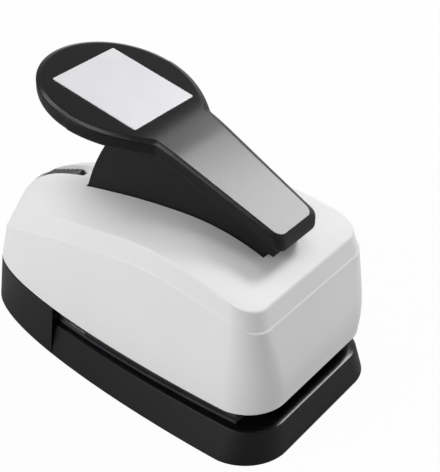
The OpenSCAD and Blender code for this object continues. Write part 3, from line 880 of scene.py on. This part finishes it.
def lever_side(d):
    """Near half of the lever's outline, from the rear tip to the front corner, then across the front."""
    a = np.radians(np.linspace(0, 90, 49))
    x = [PAD_X - (PAD_R - d) * math.cos(PAD_TILT) * np.cos(a)]
    y = [(PAD_R - d) * np.sin(a)]
    corner = 3.4
    front = ARM_X - 0.6 * d
    for x0, x1, n in ((PAD_X, 20.0, 46), (20.0, front - corner, 40)):
        run = np.linspace(x0, x1, n)[1:]
        x.append(run)
        y.append(lever_half(run, d))
    turn = np.radians(np.linspace(90, 0, 13)[1:])
    x.append(front - corner + corner * np.cos(turn))
    y.append(y[-1][-1] - corner + corner * np.sin(turn))
    return np.concatenate(x), np.concatenate(y)


def make_lever_top():
    """Round pad, waist and arm with a narrow sloped lip and a rounded lower edge."""
    columns = 12
    inner = 3.4
    knots = np.array([(inner, TOP_T), (0.0, TOP_T), (0.0, 0.72), (2.0, 0.0), (inner, 0.0)])
    rim = []
    for i, reach, steps in ((1, 2.2, 8), (2, 0.5, 6), (3, 0.35, 4)):
        rim += [tuple(q[0]) for q in bend(knots[i - 1:i], knots[i:i + 1], knots[i + 1:i + 2], reach, steps)]
    grids = []
    rings = []
    for d, dz in rim:
        x, y = lever_side(d)
        across = np.linspace(-y[-1], y[-1], columns + 1)[1:-1]
        px = np.concatenate([x, np.full(columns - 1, x[-1]), x[:0:-1]])
        py = np.concatenate([-y, across, y[:0:-1]])
        rings.append(np.stack([px, py, lever_z(px) - dz], axis=1))
        grids.append((x, y, dz))
    stack = np.array(rings)
    rows, count = stack.shape[:2]
    points = list(map(tuple, stack.reshape(-1, 3)))
    faces = ring_faces(rows, count)
    for x, y, dz in (grids[0], grids[-1]):
        base = len(points)
        spread = np.linspace(-1, 1, columns + 1)
        for i in range(len(x)):
            points += [(x[i], y[i] * c, float(lever_z(x[i])) - dz) for c in spread]
        wide = columns + 1
        faces += [(base + i * wide + j, base + (i + 1) * wide + j,
                   base + (i + 1) * wide + j + 1, base + i * wide + j + 1)
                  for i in range(len(x) - 1) for j in range(columns)]
    top = to_object("lever_pad", points, faces, 2e-3)
    dress(soften(top, 40), "black_plastic", "lever", "lever_top")


def under_z(x):
    return lever_z(x) - TOP_T - BLOCK_GAP


def arc_line(radius, start, end, count):
    a = np.linspace(start, end, count)
    return list(zip(PIVOT_X + radius * np.cos(a), PIVOT_Z + radius * np.sin(a)))


def arc_end(radius, d):
    """Angle at which an arc about the pivot meets the pad's underside, d below it."""
    rise = PAD_Z + math.tan(PAD_TILT) * (PAD_X - PIVOT_X) - TOP_T - BLOCK_GAP - d - PIVOT_Z
    return math.pi - PAD_TILT - math.asin(rise * math.cos(PAD_TILT) / radius)


def make_lever_block():
    """Curved wedge under the lever's arm, hollow from below, with hubs for pivot and roller."""
    roll = (PIVOT_X - ROLL_ARM * math.cos(ROLL_LIFT), PIVOT_Z + ROLL_ARM * math.sin(ROLL_LIFT))
    start = math.pi - math.asin((BLOCK_Z - PIVOT_Z) / REAR_R)
    roof_x = np.concatenate([np.linspace(2, BEND_X1, 13), [40, ARM_X - 1.4]])
    shape = arc_line(REAR_R, start, arc_end(REAR_R, 0) + math.radians(0.2), 30)
    shape += list(zip(roof_x, under_z(roof_x)))
    shape += [(x, float(top_z(x)) + 0.4) for x in (BLOCK_FRONT + 3.8, BLOCK_FRONT)]
    shape += [(BLOCK_FRONT, BLOCK_Z), (PIVOT_X + 6.3, PIVOT_Z), (PIVOT_X - 6.3, PIVOT_Z)]
    shape += [(PIVOT_X - 6.8, BLOCK_Z), (roll[0] + 4, BLOCK_Z), (roll[0] + ROLL_HUB_R, roll[1])]
    shape += [(roll[0] - ROLL_HUB_R, roll[1]), (roll[0] - 4, BLOCK_Z)]
    wedge = side_prism("lever_wedge", shape, BODY_HW)
    round_edges(wedge, 0.2, 2, 50)
    add(wedge, cross_drum("hub", PIVOT_HUB_R, BODY_HW, (PIVOT_X, PIVOT_Z)))
    add(wedge, cross_drum("hub", ROLL_HUB_R, BODY_HW, roll))
    inner = REAR_R - LEVER_WALL
    front = PIVOT_X + 4.8
    roof_x = np.concatenate([np.linspace(BEND_X0, BEND_X1, 10), [front]])
    hollow = [(PIVOT_X - inner, 30)]
    hollow += arc_line(inner, math.radians(178), arc_end(inner, LEVER_WALL), 24)
    hollow += list(zip(roof_x, under_z(roof_x) - LEVER_WALL)) + [(front, 30)]
    cut(wedge, side_prism("hollow", hollow, BODY_HW - LEVER_WALL))
    cut(wedge, cross_drum("pin_bore", PIN_BORE_R, 20, (PIVOT_X, PIVOT_Z)))
    cut(wedge, cross_drum("roller_bore", ROLL_BORE_R, 20, roll))
    tongue_z = LOCK_Z + LOCK_BACK * math.tan(LOCK_TILT)
    low = (REAR_X - 3.4, -NOTCH_HW, BLOCK_Z - 7)
    cut(wedge, block("notch", low, (REAR_X + 7.6, NOTCH_HW, tongue_z + 0.83)))
    low = (REAR_X - 2.4, -NOTCH_HW, tongue_z - 4.87)
    low_notch = block("low_notch", low, (REAR_X + 6.6, NOTCH_HW, tongue_z - 1.17))
    pivot = Vector((PIVOT_X, 0, PIVOT_Z)) * MM
    pressed = Matrix.Rotation(LEVER_TURN, 4, "Y")
    move_mesh(low_notch, Matrix.Translation(pivot) @ pressed @ Matrix.Translation(-pivot))
    cut(wedge, low_notch)
    for x in LEVER_SCREW_X:
        bore = drum("bore", 1.45, -8, 8)
        cut(wedge, move_mesh(bore, lever_screw_place(x)))
    dress(soften(wedge), "black_plastic", "lever", "lever_body")


def lever_screw_place(x):
    """Place of a lever screw at a station, square to the joint below the lever top."""
    lean = PAD_TILT if x < BEND_X0 else math.atan(SLOPE)
    z = float(lever_z(x)) - TOP_T - BLOCK_GAP / 2
    return Matrix.Translation(Vector((x, 0, z)) * MM) @ Matrix.Rotation(lean, 4, "Y")


def make_label():
    """Thin foil plate on the pad with softened corners and edges."""
    length, width, thick = LABEL
    gap = 0.03
    plan = slot_plan(LABEL_FWD - length / 2, LABEL_FWD + length / 2, width / 2, 0.5)
    plate = prism("shape_plate", plan, gap, gap + thick)
    round_edges(plate, 0.15, 2, 50)
    place = Matrix.Translation(Vector((PAD_X, 0, PAD_Z)) * MM) @ Matrix.Rotation(PAD_TILT, 4, "Y")
    move_mesh(plate, place)
    dress(soften(plate, 40), "label_foil", "lever", "shape_label")


# Repeated pieces, made with Geometry Nodes

def new_tree(name, *labels):
    """Geometry node tree with named size inputs, a turn and a material."""
    tree = bpy.data.node_groups.new(name, "GeometryNodeTree")
    kinds = [("Geometry", "NodeSocketGeometry")] + [(label, "NodeSocketFloat") for label in labels]
    kinds += [("Turn", "NodeSocketVector"), ("Material", "NodeSocketMaterial")]
    for label, kind in kinds:
        tree.interface.new_socket(label, in_out="INPUT", socket_type=kind)
    tree.interface.new_socket("Geometry", in_out="OUTPUT", socket_type="NodeSocketGeometry")
    return tree, tree.nodes.new("NodeGroupInput"), tree.nodes.new("NodeGroupOutput")


def finish_tree(tree, enter, leave, geometry):
    """Realize and paint what a tree made."""
    real = tree.nodes.new("GeometryNodeRealizeInstances")
    paint = tree.nodes.new("GeometryNodeSetMaterial")
    tree.links.new(geometry, real.inputs["Geometry"])
    tree.links.new(real.outputs["Geometry"], paint.inputs["Geometry"])
    tree.links.new(enter.outputs["Material"], paint.inputs["Material"])
    tree.links.new(paint.outputs["Geometry"], leave.inputs["Geometry"])


def scatter(tree, enter, shape):
    """A shape on each point of the carrier mesh, turned by the tree's own angles."""
    points = tree.nodes.new("GeometryNodeMeshToPoints")
    place = tree.nodes.new("GeometryNodeInstanceOnPoints")
    turn = tree.nodes.new("FunctionNodeEulerToRotation")
    tree.links.new(enter.outputs["Geometry"], points.inputs["Mesh"])
    tree.links.new(points.outputs["Points"], place.inputs["Points"])
    tree.links.new(shape, place.inputs["Instance"])
    tree.links.new(enter.outputs["Turn"], turn.inputs["Euler"])
    tree.links.new(turn.outputs["Rotation"], place.inputs["Rotation"])
    return place.outputs["Instances"]


def node_lift(tree, shape, height):
    """Shape moved up by a height."""
    lift = tree.nodes.new("ShaderNodeCombineXYZ")
    shift = tree.nodes.new("GeometryNodeTransform")
    tree.links.new(height, lift.inputs["Z"])
    tree.links.new(shape, shift.inputs["Geometry"])
    tree.links.new(lift.outputs["Vector"], shift.inputs["Translation"])
    return shift.outputs["Geometry"]


def node_tube(tree, radius, depth, low, sides):
    """Cylinder that stands from a given height."""
    tube = tree.nodes.new("GeometryNodeMeshCylinder")
    tube.inputs["Vertices"].default_value = sides
    tree.links.new(radius, tube.inputs["Radius"])
    tree.links.new(depth, tube.inputs["Depth"])
    return node_lift(tree, tube.outputs["Mesh"], math_node(tree, "MULTIPLY_ADD", depth, 0.5, low))


def node_coil(tree, turns, radius, height, wire, steps, sides):
    """Wire wound into a coil, with steps along each turn and sides around the wire."""
    coil = tree.nodes.new("GeometryNodeCurveSpiral")
    coil.inputs["Resolution"].default_value = steps
    values = {"Rotations": turns, "Start Radius": radius, "End Radius": radius, "Height": height}
    for label, value in values.items():
        tree.links.new(value, coil.inputs[label])
    section = tree.nodes.new("GeometryNodeCurvePrimitiveCircle")
    section.inputs["Resolution"].default_value = sides
    tree.links.new(wire, section.inputs["Radius"])
    sweep = tree.nodes.new("GeometryNodeCurveToMesh")
    sweep.inputs["Fill Caps"].default_value = True
    tree.links.new(coil.outputs["Curve"], sweep.inputs["Curve"])
    tree.links.new(section.outputs["Curve"], sweep.inputs["Profile Curve"])
    return sweep.outputs["Mesh"]


def scaled(tree, value, factor, extra=0.0):
    return math_node(tree, "MULTIPLY_ADD", value, factor, extra)


def make_screw_tree():
    """Pan screw with a hexagon socket: head at the point, shank along its own axis."""
    tree, enter, leave = new_tree("socket_screw", "Shank Radius", "Head Radius", "Head Height",
                                  "Shank Length", "Thread Pitch")
    link = tree.links.new
    shank_r = enter.outputs["Shank Radius"]
    head_r = enter.outputs["Head Radius"]
    head_h = enter.outputs["Head Height"]
    length = enter.outputs["Shank Length"]
    zero = scaled(tree, head_h, 0.0)
    head = node_tube(tree, head_r, scaled(tree, head_h, 0.62), scaled(tree, head_h, 0.38), 40)
    brim = node_tube(tree, scaled(tree, head_r, 0.9), scaled(tree, head_h, 0.62), zero, 40)
    socket = node_tube(tree, scaled(tree, head_r, 0.45), scaled(tree, head_h, 0.55, 0.001),
                       scaled(tree, zero, 1.0, -0.001), 6)
    whole = tree.nodes.new("GeometryNodeMeshBoolean")
    whole.operation = "UNION"
    link(head, whole.inputs["Mesh 2"])
    link(brim, whole.inputs["Mesh 2"])
    drive = tree.nodes.new("GeometryNodeMeshBoolean")
    drive.operation = "DIFFERENCE"
    link(whole.outputs["Mesh"], drive.inputs["Mesh 1"])
    link(socket, drive.inputs["Mesh 2"])
    shank = node_tube(tree, scaled(tree, shank_r, 0.9), length, scaled(tree, head_h, 0.98), 24)
    turns = math_node(tree, "DIVIDE", length, enter.outputs["Thread Pitch"])
    thread = node_coil(tree, turns, scaled(tree, shank_r, 0.86), scaled(tree, length, 0.97),
                       scaled(tree, shank_r, 0.13), 16, 5)
    join = tree.nodes.new("GeometryNodeJoinGeometry")
    link(drive.outputs["Mesh"], join.inputs["Geometry"])
    link(shank, join.inputs["Geometry"])
    link(node_lift(tree, thread, head_h), join.inputs["Geometry"])
    finish_tree(tree, enter, leave, scatter(tree, enter, join.outputs["Geometry"]))
    return tree


def make_spring_tree():
    """Round wire wound into a coil spring."""
    tree, enter, leave = new_tree("coil_spring", "Wire Radius", "Coil Radius", "Coils", "Height")
    size = enter.outputs
    coil = node_coil(tree, size["Coils"], size["Coil Radius"], size["Height"], size["Wire Radius"], 28, 10)
    finish_tree(tree, enter, leave, scatter(tree, enter, coil))
    return tree


def make_rib_tree():
    """Row of grip ribs across a slider."""
    tree, enter, leave = new_tree("grip_ribs", "Rib Length", "Rib Width", "Rib Height")
    link = tree.links.new
    bar = tree.nodes.new("GeometryNodeMeshCylinder")
    bar.inputs["Vertices"].default_value = 20
    bar.inputs["Radius"].default_value = 0.5
    link(enter.outputs["Rib Length"], bar.inputs["Depth"])
    size = tree.nodes.new("ShaderNodeCombineXYZ")
    link(enter.outputs["Rib Height"], size.inputs["X"])
    link(enter.outputs["Rib Width"], size.inputs["Y"])
    size.inputs["Z"].default_value = 1.0
    shape = tree.nodes.new("GeometryNodeTransform")
    link(bar.outputs["Mesh"], shape.inputs["Geometry"])
    link(size.outputs["Vector"], shape.inputs["Scale"])
    finish_tree(tree, enter, leave, scatter(tree, enter, shape.outputs["Geometry"]))
    return tree


def grow(name, tree, spots, slot, **sizes):
    """Plain mesh of a tree's shape at each spot, all in metres."""
    mesh = bpy.data.meshes.new(name)
    mesh.from_pydata([Vector(p) * MM for p in spots], [], [])
    obj = bpy.data.objects.new(name, mesh)
    bpy.context.scene.collection.objects.link(obj)
    modifier = obj.modifiers.new("grow", "NODES")
    modifier.node_group = tree
    keys = {s.name: s.identifier for s in tree.interface.items_tree if s.in_out == "INPUT"}
    modifier[keys["Material"]] = finishes[slot]
    for label, value in sizes.items():
        modifier[keys[label.replace("_", " ")]] = value
    bake(obj)
    return soften(obj, 40)


def make_fasteners():
    """All screws and bolts, from the one screw tree."""
    tree = make_screw_tree()
    down = (math.pi, 0.0, 0.0)
    up = (0.0, 0.0, 0.0)

    def screws(name, spots, sizes, turn):
        shank_r, head_r, head_h, length, pitch = sizes
        return grow(name, tree, spots, "bright_steel", Shank_Radius=shank_r * MM, Head_Radius=head_r * MM,
                    Head_Height=head_h * MM, Shank_Length=(length - head_h) * MM,
                    Thread_Pitch=pitch * MM, Turn=turn)

    guide_z = SEAT_Z + DIE_T + SLOT_H
    guide_top = guide_z + GUIDE_T
    spots = [(x, y, BASE_HEAD_Z) for x, y in BASE_SCREWS]
    dress(screws("base_fixings", spots, BASE_SCREW, up), "bright_steel", "frame", "base_screws")
    spots = [(x, y, REAR_HEAD_Z) for x, y in REAR_SCREWS]
    rear = screws("cover_fixings", spots, REAR_SCREW, up)
    spots = [(x, y, guide_z + FRONT_HEAD_UP) for x, y in FRONT_SCREWS]
    front = screws("cover_fixings_front", spots, FRONT_SCREW, up)
    dress(join_meshes(rear, front), "bright_steel", "frame", "cover_screws")
    spots = [(x, y, guide_top + BOLT_HEAD_UP) for x, y in FRAME_BOLTS]
    dress(screws("plate_bolts", spots, FRAME_BOLT, down), "bright_steel", "frame", "frame_bolts")
    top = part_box("punch_carrier")[1][2] / MM
    spots = [(x, y, top - CARRIER_HEAD_DOWN) for x, y in CARRIER_SCREWS]
    dress(screws("punch_fixings", spots, CARRIER_SCREW, down), "bright_steel", "punch", "carrier_screws")
    pair = []
    for x in LEVER_SCREW_X:
        place = lever_screw_place(x)
        spot = place @ (Vector((0, 0, -LEVER_WALL - LEVER_HEAD_DOWN)) * MM) / MM
        pair.append(screws("lever_fixings", [spot], LEVER_SCREW, tuple(place.to_euler())))
    dress(join_meshes(*pair), "bright_steel", "lever", "lever_screws")
    spot = LOCK_PLACE @ (Vector((0, 0, -LOCK_HEAD_DOWN)) * MM) / MM
    screw = screws("lock_fixing", [spot], LOCK_SCREW, tuple(LOCK_PLACE.to_euler()))
    dress(screw, "bright_steel", "lock", "lock_screw")


def join_meshes(first, second):
    """One plain mesh from two pieces of the same finish."""
    bm = bmesh.new()
    bm.from_mesh(first.data)
    bm.from_mesh(second.data)
    bm.to_mesh(first.data)
    bm.free()
    old = second.data
    bpy.data.objects.remove(second)
    bpy.data.meshes.remove(old)
    return soften(first, 40)


def make_springs():
    """Four return springs under the carrier."""
    low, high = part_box("return_spring_1")
    full = (high[2] - low[2]) / MM
    spots = [(x, y, low[2] / MM + WIRE_R) for x, y in SPRINGS]
    coils = grow("return_springs", make_spring_tree(), spots, "ground_steel", Wire_Radius=WIRE_R * MM,
                 Coil_Radius=COIL_R * MM, Coils=COILS, Height=(full - 2 * WIRE_R) * MM,
                 Turn=(0.0, 0.0, 0.0))
    dress(coils, "ground_steel", "frame", "return_spring_1", "return_spring_2", "return_spring_3",
          "return_spring_4")
    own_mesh(coils)


def make_lock_button():
    """Lock slider with raised grip ribs and its stem."""
    low = 0.3
    high = 2.3
    rib_z = 2.2
    profile = [(-BUTTON_HL, low), (BUTTON_HL, low), (BUTTON_HL - 1, high), (1.6 - BUTTON_HL, high)]
    slab = side_prism("lock_slider", profile, BUTTON_HW)
    round_edges(slab, 0.3, 3, 40)
    add(slab, block("stem", (-STEM_HL, -STEM_HW, -2.1), (STEM_HL, STEM_HW, 1.0)))
    cut(slab, drum("bore", 1.05, -4, 1.4))
    move_mesh(slab, LOCK_PLACE)
    spots = [LOCK_PLACE @ (Vector((x, 0, rib_z)) * MM) / MM for x in RIB_X]
    turn = (LOCK_PLACE @ Matrix.Rotation(math.pi / 2, 4, "X")).to_euler()
    ribs = grow("lock_ribs", make_rib_tree(), spots, "black_plastic", Rib_Length=5.8 * MM,
                Rib_Width=0.8 * MM, Rib_Height=1.1 * MM, Turn=tuple(turn))
    dress(join_meshes(soften(slab), ribs), "black_plastic", "lock", "lock_button")


def paint_kept_nodes():
    """Better finishes on the CAD solids that stay."""
    slots = {s["node"]: s["material_slot"] for s in frame["record"]["subparts"]}
    for name in ("die_plate", "throat_spacer", "guide_plate", "punch_block", "punch_carrier", "pivot_pin",
                 "pivot_clips", "press_roller", "roller_pin", "lock_tongue"):
        for place in nodes[name].material_slots:
            place.material = finishes[slots[name]]


bpy.context.scene.view_settings.view_transform = "Standard"
add_camera()
add_world()
add_floor()
for softbox, setting in SOFTBOXES.items():
    add_softbox(softbox, *setting)
finishes = make_finishes()
make_cover()
make_base()
make_lever_top()
make_lever_block()
make_label()
make_lock_button()
make_springs()
make_fasteners()
paint_kept_nodes()
